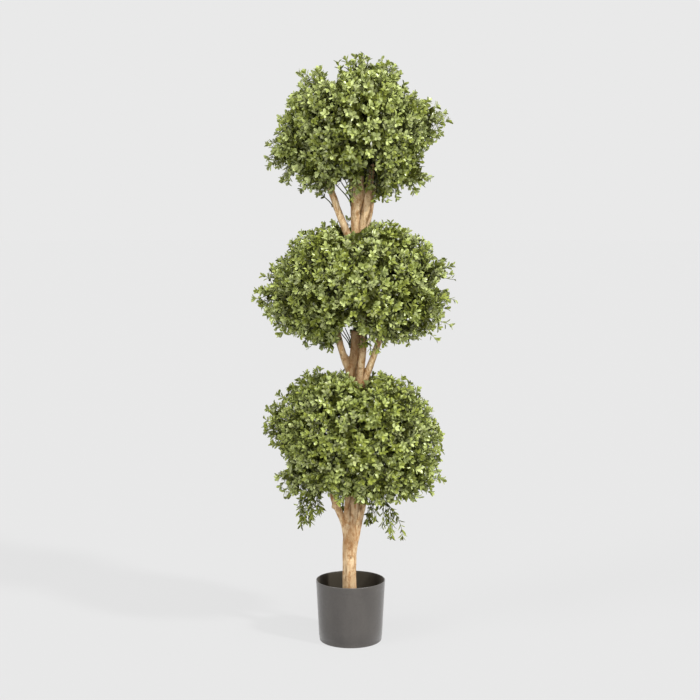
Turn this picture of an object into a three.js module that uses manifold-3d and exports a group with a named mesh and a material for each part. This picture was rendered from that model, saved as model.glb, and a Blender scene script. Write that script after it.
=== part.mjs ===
// Artificial three-ball boxwood topiary in a plain round pot.
// Millimetres, +Z up. The origin is the centre of the pot's flat underside.
// +X is the right-hand side of the tree's front, and +Y is its back.

import * as THREE from "three";
import { mergeVertices } from "three/addons/utils/BufferGeometryUtils.js";
import Module from "manifold-3d";

const wasm = await Module();
wasm.setup();

// Gap between pieces that touch, and the wider one that leaves keep from wood.
const CLEARANCE = 0.3;
const LEAF_CLEARANCE = 2.5;

// Fineness of the mesh work: vertices closer than this are one, details smaller than this are
// dropped, and leaves are tested against wood by points and beads spaced like this.
const MERGE_DISTANCE = 1e-4;
const SMALLEST_DETAIL = 0.02;
const TEST_POINTS = 8;
const BEAD_SPACING = 5;

// The pot is a thin tapering shell with a rounded foot edge and a shallow band above it.
const POT = {
  height: 159,
  rimRadius: 89.4,
  footRadius: 81.2,
  wall: 2.4,
  floor: 4,
  edgeRound: 5,
  bandHeight: 14,
  bandStep: 0.7,
  lipRound: 0.8,
  sides: 36,
};

// A hard weight fills the pot round the trunk's foot, well below the rim.
const FILL = { top: 108, shoulderDrop: 5, flatRadius: 40 };

// Limbs are rows of [x, y, z, radius] along the middle of the wood, from the foot up.
const FOOT_X = -2.5;
const TRUNK = {
  sides: 10,
  steps: 34,
  rows: [
    [FOOT_X, 0, FILL.top + CLEARANCE, 18.4],
    [FOOT_X, 0, 250, 17.8],
    [7, 3, 345, 13.6],
    [12, 4, 470, 13.5],
    [17, 2, 630, 12.8],
    [23.5, 0, 700, 11.4],
    [31, -2, 775, 11],
    [28, 0, 900, 11.4],
    [15, 0, 1040, 11.8],
    [13, -2, 1106, 13.2],
    [15.5, -2, 1131, 16],
    [15.5, -1, 1160, 18.2],
    [16, 0, 1190, 17.6],
    [15, 0, 1240, 12],
    [15, 0, 1290, 8.5],
  ],
};

// Each bough leaves the trunk, or an earlier bough, and ends where it enters a ball.
const BOUGH = { sides: 8, steps: 9 };
const BOUGHS = [
  {
    name: "bough_lower_left",
    rows: [
      [-7, -1, 256, 9.8],
      [-13, -2, 290, 9.8],
      [-18.5, -4, 312, 9.3],
      [-26, -5, 331, 9.3],
      [-41, -9, 366, 9],
      [-47, -10, 390, 8],
    ],
  },
  { name: "bough_lower_front", rows: [[-3, -4, 285, 8.2], [-9, -10, 336, 7.6], [-6, -19, 400, 6.4]] },
  {
    name: "bough_lower_right",
    rows: [[0, 2, 200, 10.4], [18.5, 4, 298, 10], [31, 6, 354, 9.6], [37, 7, 380, 9]],
  },
  {
    name: "bough_middle_front",
    rows: [[17, 1, 590, 11.2], [1, -7, 690, 10.6], [8, -8, 742, 10.3], [11, -8, 806, 10]],
  },
  {
    name: "bough_middle_left",
    rows: [[2, -6.5, 690, 9], [-12.5, -6, 731, 11.2], [-19.5, -6, 746, 9.6], [-35, -6, 803, 8.2]],
  },
  { name: "bough_middle_right", rows: [[18, 0, 630, 9], [48.5, -2, 712, 8.7], [80, -2, 800, 7.8]] },
  {
    name: "bough_upper_left",
    rows: [[18, 0, 985, 8.6], [-16.5, -3, 1071, 9.2], [-46, -4, 1151, 8.6], [-66, -5, 1208, 7]],
  },
  {
    name: "bough_upper_right",
    rows: [
      [19, 0, 1000, 11],
      [30, -3, 1071, 11],
      [38, -4, 1101, 11.6],
      [43.5, -4, 1131, 11],
      [47, -4, 1165, 9],
      [56, -3, 1226, 7],
    ],
  },
  { name: "bough_upper_back", rows: [[32, 6, 1045, 5], [50, 11, 1095, 4.6], [62, 14, 1180, 3.8]] },
];

// A leaf is an eight-faced blade with a shallow fold, drawn larger than life.
const LEAF = { length: 64, width: 37, thickness: 1.8, fold: 4.2, sink: 2, widest: 0.58 };

// A shoot is a three-sided twig with a whorl of leaves on its faces at the tip. A long shoot has
// a second whorl half way along it.
const TWIG = { footRadius: 4.2, tipRadius: 3, sides: 3, sink: 10, bud: 5 };
const TIP_WHORL = { share: 1, splay: 50, leaves: 3 };
const MIDDLE_WHORL = { share: 0.5, splay: 66, leaves: 2 };

// The reach of a ball is to its dense outline. A swell raises or lowers that outline round
// one direction: [turn from +X, rise from level, share of the reach], angles in degrees.
// A sprig is a shoot that stands out of the outline, given by the point that it reaches.
const SWELL_SPREAD = 9;
const CORE = { share: 0.72, detail: 3, bump: 0.06, waves: 8 };
const STRETCH = { shortest: 0.92, longest: 1.1 };
const BALLS = [
  {
    name: "ball_lower",
    centre: [8, 0, 543],
    reach: { side: 213, up: 164, down: 176 },
    lowest: 374,
    highest: 724,
    seed: 11,
    shoots: 40,
    swells: [
      [0, -50, 0.12], [0, -28, 0.18], [0, 5, -0.06], [0, 30, 0.08], [0, 58, -0.06],
      [180, 60, -0.06], [180, 34, 0.1], [180, 0, 0.05], [180, -20, -0.26], [180, -48, 0.22],
      [90, 10, 0.05], [250, -10, 0.05],
    ],
    sprigs: [
      [-222, -8, 545],
      [229, 6, 550],
      [212, 10, 396],
      [-190, -14, 424],
      [-129, 20, 679],
      [152, -20, 666],
    ],
  },
  {
    name: "ball_middle",
    centre: [11, 0, 924],
    reach: { side: 223, up: 158, down: 160 },
    lowest: 764,
    highest: 1096,
    seed: 23,
    shoots: 40,
    swells: [
      [0, -60, -0.08], [0, -36, 0.22], [0, -10, 0.06], [0, 18, -0.07], [0, 63, 0.03],
      [180, 35, -0.06], [180, 12, -0.1], [180, -15, 0.09], [180, -50, 0.05],
      [80, 25, 0.05], [250, -10, 0.05],
    ],
    sprigs: [
      [-243, 10, 906],
      [262, -6, 972],
      [227, 12, 845],
      [-205, -10, 833],
      [-153, 14, 1010],
      [176, 8, 1036],
    ],
  },
  {
    name: "ball_upper",
    centre: [14, 0, 1320],
    reach: { side: 203, up: 166, down: 166 },
    lowest: 1140,
    highest: 1500,
    seed: 37,
    shoots: 40,
    swells: [
      [0, -60, 0.17], [0, -30, -0.18], [0, 3, 0.15], [0, 29, -0.24], [35, 32, -0.1],
      [325, 32, -0.1], [0, 65, 0.1], [180, 64, -0.24], [130, 62, -0.16], [230, 62, -0.16],
      [180, 40, -0.02], [180, 3, -0.2], [180, -21, 0.2], [180, -42, -0.08], [180, -58, 0.15],
      [270, 5, 0.05], [90, 0, 0.06],
    ],
    sprigs: [
      [242, -8, 1353],
      [-215, 8, 1239],
      [13, 4, 1499],
      [-82, -10, 1459],
      [200, 10, 1186],
      [111, 16, 1464],
    ],
  },
];

// Two loose sprays hang below the lower ball from the ends of its side boughs. Each has one
// arching stem with hanging twigs: [share of the stem, lean in X, lean in Y, length].
const SPRAY = { stemRadius: 3.4, tipRadius: 2.6, sides: 4, steps: 6, leafScale: 0.6 };
const SPRAYS = [
  {
    name: "spray_left",
    bough: "bough_lower_left",
    over: [-90, -12, 388],
    end: [-124, -16, 344],
    twigs: [[0.55, 0.1, -0.5, 44], [0.75, -0.7, 0.3, 40], [0.96, -0.1, -0.1, 42]],
  },
  {
    name: "spray_right",
    bough: "bough_lower_right",
    over: [74, 10, 370],
    end: [114, 14, 318],
    twigs: [[0.5, -0.1, 0.5, 46], [0.72, 0.1, -0.4, 50], [0.96, 0.2, 0.1, 52]],
  },
];

const GOLDEN_ANGLE = Math.PI * (3 - Math.sqrt(5));
const RANDOM = { factor: 1664525, step: 1013904223, range: 2 ** 32 };

const FINISHES = {
  foliage: { color: "#6a7a30", roughness: 0.55 },
  wood: { color: "#b98f5e", roughness: 0.8 },
  pot: { color: "#5f5b58", roughness: 0.6 },
  fill: { color: "#3b352d", roughness: 0.95 },
};

// Solids and meshes

function solidOf(geometry) {
  const bare = geometry.clone();
  bare.deleteAttribute("normal");
  bare.deleteAttribute("uv");
  const merged = mergeVertices(bare, MERGE_DISTANCE);
  return new wasm.Manifold(new wasm.Mesh({
    numProp: 3,
    vertProperties: new Float32Array(merged.attributes.position.array),
    triVerts: new Uint32Array(merged.index.array),
  }));
}

// The largest body of a solid, without loose scraps or sealed hollows.
function mainBody(solid) {
  const bodies = solid.decompose();
  bodies.sort((first, second) => second.volume() - first.volume());
  return bodies[0];
}

function meshOf(solid, name, finish) {
  const { vertProperties, triVerts } = mainBody(solid).simplify(SMALLEST_DETAIL).getMesh();
  const geometry = new THREE.BufferGeometry();
  geometry.setAttribute("position", new THREE.BufferAttribute(vertProperties, 3));
  geometry.setIndex(new THREE.BufferAttribute(triVerts, 1));
  geometry.computeVertexNormals();
  const material = new THREE.MeshStandardMaterial({ ...finish, metalness: 0 });
  const mesh = new THREE.Mesh(geometry, material);
  mesh.name = name;
  return mesh;
}

// Pot and fill

function latheSolid(profile) {
  const points = profile.map(([radius, height]) => new THREE.Vector2(radius, height));
  const geometry = new THREE.LatheGeometry(points, POT.sides);
  geometry.rotateX(Math.PI / 2);
  return solidOf(geometry);
}

// Radius of the pot's outside at a height above its underside.
function potRadius(height) {
  return THREE.MathUtils.lerp(POT.footRadius, POT.rimRadius, height / POT.height);
}

function potSolid() {
  const bandRadius = (height) => potRadius(height) - POT.bandStep;
  const edgeCentre = bandRadius(POT.edgeRound) - POT.edgeRound;
  const edge = [0, 1, 2, 3].map((step) => {
    const angle = (step / 3) * (Math.PI / 2);
    return [edgeCentre + POT.edgeRound * Math.sin(angle), POT.edgeRound * (1 - Math.cos(angle))];
  });
  return latheSolid([
    [0, 0],
    ...edge,
    [bandRadius(POT.bandHeight), POT.bandHeight],
    [potRadius(POT.bandHeight), POT.bandHeight + POT.bandStep],
    [POT.rimRadius, POT.height - POT.lipRound],
    [POT.rimRadius - POT.lipRound, POT.height],
    [POT.rimRadius - POT.wall + POT.lipRound, POT.height],
    [POT.rimRadius - POT.wall, POT.height - POT.lipRound],
    [potRadius(POT.floor) - POT.wall - POT.bandStep, POT.floor],
    [0, POT.floor],
  ]);
}

function fillSolid() {
  const wallGap = POT.wall + POT.bandStep + 2 * CLEARANCE;
  const bottom = POT.floor + CLEARANCE;
  const shoulder = FILL.top - FILL.shoulderDrop;
  return latheSolid([
    [0, bottom],
    [potRadius(bottom) - wallGap, bottom],
    [potRadius(shoulder) - wallGap, shoulder],
    [FILL.flatRadius, FILL.top],
    [0, FILL.top],
  ]);
}

// Limbs

function limbCurve(rows) {
  return new THREE.CatmullRomCurve3(rows.map(([x, y, z]) => new THREE.Vector3(x, y, z)));
}

// Radius of a limb at a share of its length.
function limbRadius(curve, rows, share) {
  const place = curve.getUtoTmapping(share) * (rows.length - 1);
  const row = Math.min(Math.floor(place), rows.length - 2);
  return THREE.MathUtils.lerp(rows[row][3], rows[row + 1][3], place - row);
}

// A closed tapering limb, swept along its rows by bending a cylinder of many rings.
function limbSolid(rows, sides, steps, grow = 0) {
  const curve = limbCurve(rows);
  const frames = curve.computeFrenetFrames(steps, false);
  const geometry = new THREE.CylinderGeometry(1, 1, 1, sides, steps);
  const position = geometry.attributes.position;
  const point = new THREE.Vector3();
  for (let index = 0; index < position.count; index += 1) {
    const across = position.getX(index);
    const along = position.getZ(index);
    const share = THREE.MathUtils.clamp(position.getY(index) + 0.5, 0, 1);
    const ring = Math.round(share * steps);
    const radius = limbRadius(curve, rows, share) + grow;
    point.copy(curve.getPointAt(share));
    point.addScaledVector(frames.binormals[ring], across * radius);
    point.addScaledVector(frames.normals[ring], along * radius);
    position.setXYZ(index, point.x, point.y, point.z);
  }
  return solidOf(geometry);
}

// Round beads along a limb, for keeping leaves clear of it.
function limbBeads(rows, spread = 0) {
  const curve = limbCurve(rows);
  const count = Math.ceil(curve.getLength() / BEAD_SPACING);
  return Array.from({ length: count + 1 }, (_, index) => ({
    centre: curve.getPointAt(index / count),
    radius: limbRadius(curve, rows, index / count) + spread,
  }));
}

// Foliage

function seededRandom(seed) {
  let state = seed;
  return () => {
    state = (state * RANDOM.factor + RANDOM.step) % RANDOM.range;
    return state / RANDOM.range;
  };
}

function direction(turn, rise) {
  const flat = Math.cos(rise);
  return new THREE.Vector3(flat * Math.cos(turn), flat * Math.sin(turn), Math.sin(rise));
}

// Distance from a ball's centre to its dense outline along one direction.
function outline(ball, heading) {
  const upright = heading.z > 0 ? ball.reach.up : ball.reach.down;
  const level = Math.hypot(heading.x, heading.y) / ball.reach.side;
  let distance = 1 / Math.hypot(level, heading.z / upright);
  for (const [turn, rise, share] of ball.swells) {
    const towards = direction(THREE.MathUtils.degToRad(turn), THREE.MathUtils.degToRad(rise));
    distance *= 1 + share * Math.exp(SWELL_SPREAD * (heading.dot(towards) - 1));
  }
  return distance;
}

function coreSolid(ball) {
  const geometry = new THREE.IcosahedronGeometry(1, CORE.detail);
  const position = geometry.attributes.position;
  const heading = new THREE.Vector3();
  for (let index = 0; index < position.count; index += 1) {
    heading.fromBufferAttribute(position, index).normalize();
    const wave = [heading.x, heading.y, heading.z].map((part) => Math.sin(CORE.waves * part + 1));
    const bump = 1 + (CORE.bump * (wave[0] + wave[1] + wave[2])) / wave.length;
    const distance = CORE.share * bump * outline(ball, heading);
    heading.multiplyScalar(distance).add(new THREE.Vector3(...ball.centre));
    position.setXYZ(index, heading.x, heading.y, heading.z);
  }
  return solidOf(geometry);
}

// One leaf along +X with its root sunk behind the origin and its upper side to +Z.
function leafGeometry() {
  const geometry = new THREE.OctahedronGeometry(1);
  const position = geometry.attributes.position;
  const shift = (LEAF.widest - 0.5) * LEAF.length;
  for (let index = 0; index < position.count; index += 1) {
    const end = position.getX(index);
    const edge = position.getY(index);
    const face = position.getZ(index);
    const x = ((end + 1) * LEAF.length) / 2 + (1 - Math.abs(end)) * shift - LEAF.sink;
    const z = (face * LEAF.thickness) / 2 + Math.abs(edge) * LEAF.fold;
    position.setXYZ(index, x, (edge * LEAF.width) / 2, z);
  }
  return geometry;
}

const leafShape = leafGeometry();

// A frame whose origin is a shoot's root and whose +Y runs along the shoot.
function shootFrame(root, axis, turn) {
  const upright = new THREE.Quaternion().setFromUnitVectors(new THREE.Vector3(0, 1, 0), axis);
  const frame = new THREE.Matrix4().makeRotationFromQuaternion(upright);
  return frame.multiply(new THREE.Matrix4().makeRotationY(turn)).setPosition(root);
}

// The place of one leaf that leaves a shoot's axis at a height, a turn and a splay.
function leafPlace(frame, height, turn, splay, scale) {
  const outward = new THREE.Vector3(Math.sin(turn), 0, Math.cos(turn));
  const axis = new THREE.Vector3(0, 1, 0);
  const along = outward.clone().multiplyScalar(Math.sin(splay)).addScaledVector(axis, Math.cos(splay));
  const face = axis.clone().multiplyScalar(Math.sin(splay)).addScaledVector(outward, -Math.cos(splay));
  const place = new THREE.Matrix4().makeBasis(along, face.clone().cross(along), face);
  place.setPosition(0, height, 0).scale(new THREE.Vector3(scale, scale, 1));
  return place.premultiply(frame);
}

// The outline of a placed leaf, as its root, its two widest points and its tip.
function leafCorners(place) {
  const middle = LEAF.widest * LEAF.length - LEAF.sink;
  const corners = {
    root: [0, 0, 0],
    left: [middle, LEAF.width / 2, LEAF.fold],
    tip: [LEAF.length - LEAF.sink, 0, 0],
    right: [middle, -LEAF.width / 2, LEAF.fold],
  };
  for (const name of Object.keys(corners)) {
    corners[name] = new THREE.Vector3(...corners[name]).applyMatrix4(place);
  }
  return corners;
}

// True where an edge or the midrib of one leaf passes through the other leaf's blade.
function leafPierces(one, other) {
  const edges = [[one.root, one.left], [one.left, one.tip], [one.tip, one.right], [one.right, one.root],
    [one.root, one.tip]];
  const hit = new THREE.Vector3();
  return edges.some(([start, end]) => {
    const length = start.distanceTo(end);
    const ray = new THREE.Ray(start, end.clone().sub(start).normalize());
    return [other.left, other.right].some((side) => {
      const meets = ray.intersectTriangle(other.root, other.tip, side, false, hit);
      return meets && hit.distanceTo(start) < length;
    });
  });
}

function leavesCross(one, other) {
  return leafPierces(one, other) || leafPierces(other, one);
}

function isClear(points, beads, clearance = LEAF_CLEARANCE) {
  return points.every((point) =>
    beads.every((bead) => point.distanceTo(bead.centre) > bead.radius + clearance));
}

function pointsBetween(root, tip, count) {
  return Array.from({ length: count + 1 }, (_, index) => root.clone().lerp(tip, index / count));
}

// Points all over a leaf's blade: its midrib, its edges and a line across its widest part.
function bladePoints({ root, left, tip, right }) {
  const lines = [[root, tip], [root, left], [root, right], [left, tip], [right, tip], [left, right]];
  return lines.flatMap(([start, end]) => pointsBetween(start, end, TEST_POINTS));
}

// The solids of one shoot from its root to its last whorl. A leaf is skipped where it would touch
// wood, leave its space or cross a leaf of an earlier shoot.
function shootSolids({ root, tip, turn, whorls, scale }, fits, earlier) {
  const axis = tip.clone().sub(root);
  const length = axis.length();
  const frame = shootFrame(root, axis.normalize(), turn);
  const whole = length + TWIG.sink + TWIG.bud;
  const twig = new THREE.CylinderGeometry(TWIG.tipRadius, TWIG.footRadius, whole, TWIG.sides);
  twig.translate(0, whole / 2 - TWIG.sink, 0).applyMatrix4(frame);
  const solids = [solidOf(twig)];
  const placed = [];
  for (const whorl of whorls) {
    const splay = THREE.MathUtils.degToRad(whorl.splay);
    for (let face = 0; face < whorl.leaves; face += 1) {
      const spin = ((face + 0.5) * 2 * Math.PI) / TWIG.sides;
      const place = leafPlace(frame, length * whorl.share, spin, splay, scale);
      const corners = leafCorners(place);
      const crosses = earlier.some((other) => leavesCross(corners, other));
      if (!crosses && fits(bladePoints(corners))) {
        solids.push(solidOf(leafShape.clone().applyMatrix4(place)));
        placed.push(corners);
      }
    }
  }
  earlier.push(...placed);
  return solids;
}

// A ball's shoots: the long sprigs that stand out, then short ones spread by the golden angle.
function ballShoots(ball, random) {
  const centre = new THREE.Vector3(...ball.centre);
  const shoots = ball.sprigs.map((sprig) => ({
    furthest: new THREE.Vector3(...sprig),
    whorls: [TIP_WHORL, MIDDLE_WHORL],
  }));
  for (let index = 0; index < ball.shoots; index += 1) {
    const rise = Math.asin(1 - (2 * (index + 0.5)) / ball.shoots);
    const heading = direction(index * GOLDEN_ANGLE, rise);
    const stretch = THREE.MathUtils.lerp(STRETCH.shortest, STRETCH.longest, random());
    const furthest = centre.clone().addScaledVector(heading, outline(ball, heading) * stretch);
    shoots.push({ furthest, whorls: [TIP_WHORL] });
  }
  return shoots;
}

// A ball is a core cut clear of the wood, with shoots that stand out of it on all sides.
function ballSolid(ball, beads, woodCut) {
  const random = seededRandom(ball.seed);
  const centre = new THREE.Vector3(...ball.centre);
  const inSpace = (point) => point.z > ball.lowest && point.z < ball.highest;
  const fits = (points) => points.every(inSpace) && isClear(points, beads);
  const leafReach = (LEAF.length - LEAF.sink) * Math.cos(THREE.MathUtils.degToRad(TIP_WHORL.splay));
  const twigClearance = LEAF_CLEARANCE + TWIG.footRadius;
  const leaves = [];
  let solid = mainBody(coreSolid(ball).subtract(woodCut));
  for (const { furthest, whorls } of ballShoots(ball, random)) {
    const heading = furthest.clone().sub(centre).normalize();
    const root = centre.clone().addScaledVector(heading, outline(ball, heading) * CORE.share);
    const tip = furthest.clone().addScaledVector(heading, -leafReach);
    const turn = random() * 2 * Math.PI;
    const sunkRoot = root.clone().addScaledVector(heading, -TWIG.sink);
    if (isClear(pointsBetween(sunkRoot, tip, TEST_POINTS), beads, twigClearance)) {
      const pieces = shootSolids({ root, tip, turn, whorls, scale: 1 }, fits, leaves);
      solid = pieces.reduce((sum, piece) => sum.add(piece), solid);
    }
  }
  return solid;
}

// Rows of a spray's stem: on from the end of its bough, over, and down to its end.
function sprayRows(spray) {
  const curve = limbCurve(BOUGHS.find((bough) => bough.name === spray.bough).rows);
  const onward = curve.getTangentAt(1);
  const start = curve.getPointAt(1).addScaledVector(onward, CLEARANCE);
  const rise = start.clone().addScaledVector(onward, 2 * SPRAY.stemRadius);
  const { stemRadius, tipRadius } = SPRAY;
  return [
    [...start.toArray(), stemRadius],
    [...rise.toArray(), stemRadius],
    [...spray.over, stemRadius],
    [...spray.end, tipRadius],
  ];
}

function spraySolid(spray, beads) {
  const rows = sprayRows(spray);
  const curve = limbCurve(rows);
  const fits = (points) => isClear(points, beads);
  const leaves = [];
  let solid = limbSolid(rows, SPRAY.sides, SPRAY.steps);
  for (const [share, leanX, leanY, length] of spray.twigs) {
    const axis = new THREE.Vector3(leanX, leanY, -1).normalize();
    const root = curve.getPointAt(share).addScaledVector(axis, TWIG.sink - TWIG.tipRadius);
    const tip = root.clone().addScaledVector(axis, length - TWIG.sink);
    const shoot = { root, tip, turn: share, whorls: [TIP_WHORL, MIDDLE_WHORL], scale: SPRAY.leafScale };
    const pieces = shootSolids(shoot, fits, leaves);
    solid = pieces.reduce((sum, piece) => sum.add(piece), solid);
  }
  return solid;
}

// The assembled tree

const tree = new THREE.Group();
tree.add(meshOf(potSolid(), "pot", FINISHES.pot));
tree.add(meshOf(fillSolid(), "pot_fill", FINISHES.fill));

tree.add(meshOf(limbSolid(TRUNK.rows, TRUNK.sides, TRUNK.steps), "trunk", FINISHES.wood));
let woodCut = limbSolid(TRUNK.rows, TRUNK.sides, TRUNK.steps, CLEARANCE);
const beads = limbBeads(TRUNK.rows);
for (const bough of BOUGHS) {
  const whole = limbSolid(bough.rows, BOUGH.sides, BOUGH.steps);
  tree.add(meshOf(whole.subtract(woodCut), bough.name, FINISHES.wood));
  woodCut = woodCut.add(limbSolid(bough.rows, BOUGH.sides, BOUGH.steps, CLEARANCE));
  beads.push(...limbBeads(bough.rows));
}

for (const spray of SPRAYS) {
  tree.add(meshOf(spraySolid(spray, beads), spray.name, FINISHES.foliage));
}
const sprayBeads = SPRAYS.flatMap((spray) => limbBeads(sprayRows(spray), LEAF.width));
for (const ball of BALLS) {
  const solid = ballSolid(ball, [...beads, ...sprayBeads], woodCut);
  tree.add(meshOf(solid, ball.name, FINISHES.foliage));
}

export default tree;
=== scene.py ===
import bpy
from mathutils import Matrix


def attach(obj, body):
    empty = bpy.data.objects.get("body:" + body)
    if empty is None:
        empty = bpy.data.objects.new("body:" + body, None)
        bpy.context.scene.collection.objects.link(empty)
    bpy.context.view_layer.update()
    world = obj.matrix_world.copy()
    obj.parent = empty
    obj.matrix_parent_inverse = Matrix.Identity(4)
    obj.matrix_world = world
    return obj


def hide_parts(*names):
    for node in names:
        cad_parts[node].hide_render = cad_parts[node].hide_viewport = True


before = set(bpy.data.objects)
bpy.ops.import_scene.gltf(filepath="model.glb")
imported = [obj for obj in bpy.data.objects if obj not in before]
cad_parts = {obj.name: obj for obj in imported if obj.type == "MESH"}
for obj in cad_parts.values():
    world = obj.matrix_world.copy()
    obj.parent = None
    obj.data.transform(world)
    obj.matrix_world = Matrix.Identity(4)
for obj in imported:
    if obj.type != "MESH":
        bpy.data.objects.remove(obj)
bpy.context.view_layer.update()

import math

import bmesh
import bpy
import numpy as np
from mathutils import Matrix, Vector, kdtree, noise

mm = 0.001
goldenAngle = math.pi * (3 - math.sqrt(5))
up = Vector((0, 0, 1))
scene = bpy.context.scene


# one seeded draw after another, the same on every run
def seededRandom(seed):
    state = [seed]

    def draw(low=0.0, high=1.0):
        state[0] = (state[0] * 1664525 + 1013904223) % 2**32
        return low + (high - low) * state[0] / 2**32

    return draw


def direction(turn, rise):
    flat = math.cos(rise)
    return Vector((flat * math.cos(turn), flat * math.sin(turn), math.sin(rise)))


def place(point):
    return Vector(point) * mm


def between(ends, share):
    return ends[0] + (ends[1] - ends[0]) * share


# headings spread evenly over a ball
def evenSpread(count):
    for index in range(count):
        yield direction(index * goldenAngle, math.asin(1 - 2 * (index + 0.5) / count))


# any direction at right angles to the given one, turned round it
def sideways(along, turn):
    start = up.cross(along)
    if start.length < 0.05:
        start = Vector((1, 0, 0)).cross(along)
    start.normalize()
    return start * math.cos(turn) + along.cross(start).normalized() * math.sin(turn)


def bezier(points, share):
    a, b, c, d = points
    rest = 1 - share
    return a * rest**3 + b * 3 * rest**2 * share + c * 3 * rest * share**2 + d * share**3


def bezierAlong(points, share):
    a, b, c, d = points
    rest = 1 - share
    slope = (b - a) * rest**2 + (c - b) * 2 * rest * share + (d - c) * share**2
    return slope.normalized()


def pointAndWay(points, share):
    return bezier(points, share), bezierAlong(points, share)


# the way that a line of points and radii runs at one of them
def lineWay(line, index):
    before, after = line[max(index - 1, 0)][0], line[min(index + 1, len(line) - 1)][0]
    return (after - before).normalized()


# a smooth line through the rows of a limb, [x, y, z, radius] in millimetres
def limbLine(rows, steps):
    knots = [np.array(row, float) * mm for row in rows]
    knots = [2 * knots[0] - knots[1]] + knots + [2 * knots[-1] - knots[-2]]
    line = []
    for index in range(1, len(knots) - 2):
        before, start, end, after = knots[index - 1:index + 3]
        count = max(2, round(steps * np.linalg.norm(end[:3] - start[:3])))
        last = index == len(knots) - 3
        for step in range(count + last):
            t = step / count
            point = 0.5 * (
                2 * start
                + (end - before) * t
                + (2 * before - 5 * start + 4 * end - after) * t**2
                + (3 * start - before - 3 * end + after) * t**3
            )
            line.append((Vector(point[:3]), float(point[3])))
    return line


def linked(name, data):
    holder = bpy.data.objects.new(name, data)
    scene.collection.objects.link(holder)
    return holder


def meshObject(name, mesh, finish):
    mesh.materials.append(finish)
    return linked(name, mesh)


def bmeshObject(name, shape, finish):
    mesh = bpy.data.meshes.new(name)
    shape.to_mesh(mesh)
    shape.free()
    return meshObject(name, mesh, finish)


def smooth(mesh, sharpAngle):
    mesh.shade_smooth()
    mesh.set_sharp_from_angle(angle=math.radians(sharpAngle))


def seat(piece, slotName, *nodes):
    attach(piece, "root")
    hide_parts(*nodes)
    return piece


# finishes: a node's input is linked where it is given a socket, and set where it is given a value
def feed(node, values):
    for name, value in values.items():
        if isinstance(value, bpy.types.NodeSocket):
            node.id_data.links.new(value, node.inputs[name])
        else:
            node.inputs[name].default_value = value


def added(tree, kind, values):
    node = tree.nodes.new("ShaderNode" + kind)
    feed(node, values)
    return node


def newFinish(name):
    finish = bpy.data.materials.new(name)
    finish.use_nodes = True
    return finish, finish.node_tree, finish.node_tree.nodes["Principled BSDF"]


def stretchedNoise(tree, upright, scale, detail, roughness, distortion=0.0):
    spot = added(tree, "TexCoord", {}).outputs["Object"]
    mapping = added(tree, "Mapping", {"Vector": spot, "Scale": (1, 1, upright)})
    texture = added(tree, "TexNoise", {
        "Vector": mapping.outputs["Vector"], "Scale": scale, "Detail": detail,
        "Roughness": roughness, "Distortion": distortion,
    })
    return texture.outputs["Fac"]


def ramp(value, stops):
    colours = added(value.id_data, "ValToRGB", {"Fac": value})
    band = colours.color_ramp
    while len(band.elements) < len(stops):
        band.elements.new(0.5)
    for element, (where, colour) in zip(band.elements, stops):
        element.position, element.color = where, (*colour, 1)
    return colours.outputs["Color"]


def mixed(kind, share, first, second):
    mix = added(first.id_data, "Mix", {})
    mix.data_type, mix.blend_type = "RGBA", kind
    feed(mix, {0: share, 6: first, 7: second})
    return mix.outputs[2]


def ranged(value, low, high, start=0.0, end=1.0):
    spread = added(value.id_data, "MapRange", {
        "Value": value, "From Min": start, "From Max": end, "To Min": low, "To Max": high,
    })
    return spread.outputs["Result"]


def heightIn(tree, space):
    spot = added(tree, "TexCoord", {}).outputs[space]
    return added(tree, "SeparateXYZ", {"Vector": spot}).outputs["Z"]


def bumped(value, strength, distance):
    values = {"Height": value, "Strength": strength, "Distance": distance}
    return added(value.id_data, "Bump", values).outputs["Normal"]


def attribute(tree, name):
    node = added(tree, "Attribute", {})
    node.attribute_name = name
    return node


# camera, at the place that the pot's rim and foot give
camera = {
    "place": (-0.0015, -3.5, 1.0967),
    "pitchDown": 5.561,
    "lens": 70.92,
    "sensor": 36.0,
    "seesTo": 200,
}


def makeCamera(spec):
    eye = bpy.data.cameras.new("camera")
    eye.lens, eye.sensor_width, eye.clip_end = spec["lens"], spec["sensor"], spec["seesTo"]
    eye.sensor_fit = "HORIZONTAL"
    scene.camera = linked("camera", eye)
    scene.camera.location = spec["place"]
    scene.camera.rotation_euler = (math.radians(90 - spec["pitchDown"]), 0, 0)


makeCamera(camera)


# studio: a wide pale floor in a white room, lit crisply from the right
# and softly from the left, above and the front
studio = {
    "horizonLevel": 0.815, "ceilingLevel": 0.25, "horizonEnds": 0.16, "ceilingStarts": 0.36,
    "lights": [  # strength, softness, turn from +X (negative is towards the camera), rise
        (3.9, 6, -36, 36), (1.7, 22, -144, 34), (1.0, 30, -85, 74), (2.0, 60, -88, 2),
    ],
    "floorColour": (0.06, 0.06, 0.06), "floorGlow": 0.706, "floorRoughness": 0.9,
    "floorRadius": 60.0, "floorDrop": 0.0005, "floorSides": 64,
}


def makeSun(name, strength, softness, turn, rise):
    sun = bpy.data.lights.new(name, "SUN")
    sun.energy, sun.angle = strength, math.radians(softness)
    towards = direction(math.radians(turn), math.radians(rise))
    linked(name, sun).rotation_euler = towards.to_track_quat("Z", "Y").to_euler()


def makeRoom(spec):
    room = bpy.data.worlds.new("room")
    room.use_nodes = True
    tree = room.node_tree
    level = ranged(
        heightIn(tree, "Generated"), spec["horizonLevel"], spec["ceilingLevel"],
        spec["horizonEnds"], spec["ceilingStarts"],
    )
    level.node.interpolation_type = "SMOOTHSTEP"
    feed(tree.nodes["Background"], {"Color": (1, 1, 1, 1), "Strength": level})
    scene.world = room


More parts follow.
